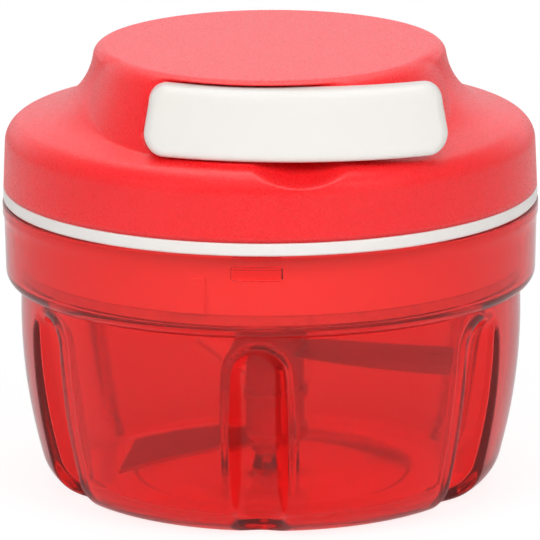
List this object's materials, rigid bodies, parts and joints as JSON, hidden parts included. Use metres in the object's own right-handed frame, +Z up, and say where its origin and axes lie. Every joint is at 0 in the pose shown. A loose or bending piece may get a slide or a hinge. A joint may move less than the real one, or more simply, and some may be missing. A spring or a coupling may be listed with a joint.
{
  "type": "pull-string food chopper",
  "caption": "Hand chopper with a clear red fluted bowl, bladed stem, and a red lid whose leaning white handle pulls a cord on a sprung reel.",
  "frame": {"origin": "centre of the bowl's foot, on the table", "axes": "+Z up along the blade shaft, the handle is pulled along -Y, +X to the right seen from the handle's side"},
  "size_m": [0.1164, 0.1164, 0.0977],
  "materials": {
    "clear_red": "clear tinted moulding",
    "red_plastic": "fine matt texture",
    "white_plastic": "smooth moulding",
    "natural_nylon": "as moulded",
    "blade_steel": "ground and polished",
    "axle_steel": "turned",
    "spring_steel": "blued strip",
    "screw_steel": "plated",
    "silicone": "soft translucent",
    "cord": "braided"
  },
  "bodies": {
    "bowl": {"bowl": "clear_red", "bowl_pivot_pin": "axle_steel"},
    "seal": {"lid_seal": "silicone"},
    "lid": {"lid_cover": "red_plastic", "lid_base": "white_plastic", "lid_screws": "screw_steel", "cord_eyelet": "natural_nylon", "reel_axle": "axle_steel", "axle_clip": "spring_steel", "return_spring": "spring_steel", "drive_bush": "natural_nylon"},
    "reel": {"reel": "natural_nylon", "spring_case_cover": "natural_nylon", "ratchet_pawls": "natural_nylon", "pull_cord_winding": "cord"},
    "drive": {"ratchet_cup": "natural_nylon", "drive_coupler": "red_plastic", "coupler_screw": "screw_steel"},
    "blades": {"blade_stem": "red_plastic", "upper_blade": "blade_steel", "middle_blade": "blade_steel", "lower_blade": "blade_steel"},
    "handle": {"handle_front": "white_plastic", "handle_back": "white_plastic", "cord_ferrule": "axle_steel", "pull_cord_lead": "cord"}
  },
  "joints": [
    {"name": "lid_lift", "type": "slide", "parent": "bowl", "child": "seal", "axis": [0, 0, 1], "range_m": [0, 0.08]},
    {"name": "lid_turn", "type": "hinge", "parent": "seal", "child": "lid", "pos_m": [0, 0, 0.06], "axis": [0, 0, 1], "range_deg": [0, 13]},
    {"name": "handle_pull", "type": "slide", "parent": "lid", "child": "handle", "axis": [0, -1, 0], "range_m": [0, 0.28], "stiffness_N_per_m": 20, "springref_m": -0.1, "deforming": ["pull_cord_lead"]},
    {"name": "reel_spin", "type": "hinge", "parent": "lid", "child": "reel", "pos_m": [0, 0, 0.088], "axis": [0, 0, -1], "continuous": true},
    {"name": "drive_spin", "type": "hinge", "parent": "lid", "child": "drive", "pos_m": [0, 0, 0.062], "axis": [0, 0, -1], "continuous": true},
    {"name": "blade_spin", "type": "hinge", "parent": "bowl", "child": "blades", "pos_m": [0, 0, 0.02], "axis": [0, 0, -1], "continuous": true}
  ],
  "couplings": [
    {"joint": "reel_spin", "follows": "handle_pull", "rad_per_m": 67.34},
    {"joint": "drive_spin", "follows": "handle_pull", "rad_per_m": 67.34},
    {"joint": "blade_spin", "follows": "handle_pull", "rad_per_m": 67.34}
  ]
}
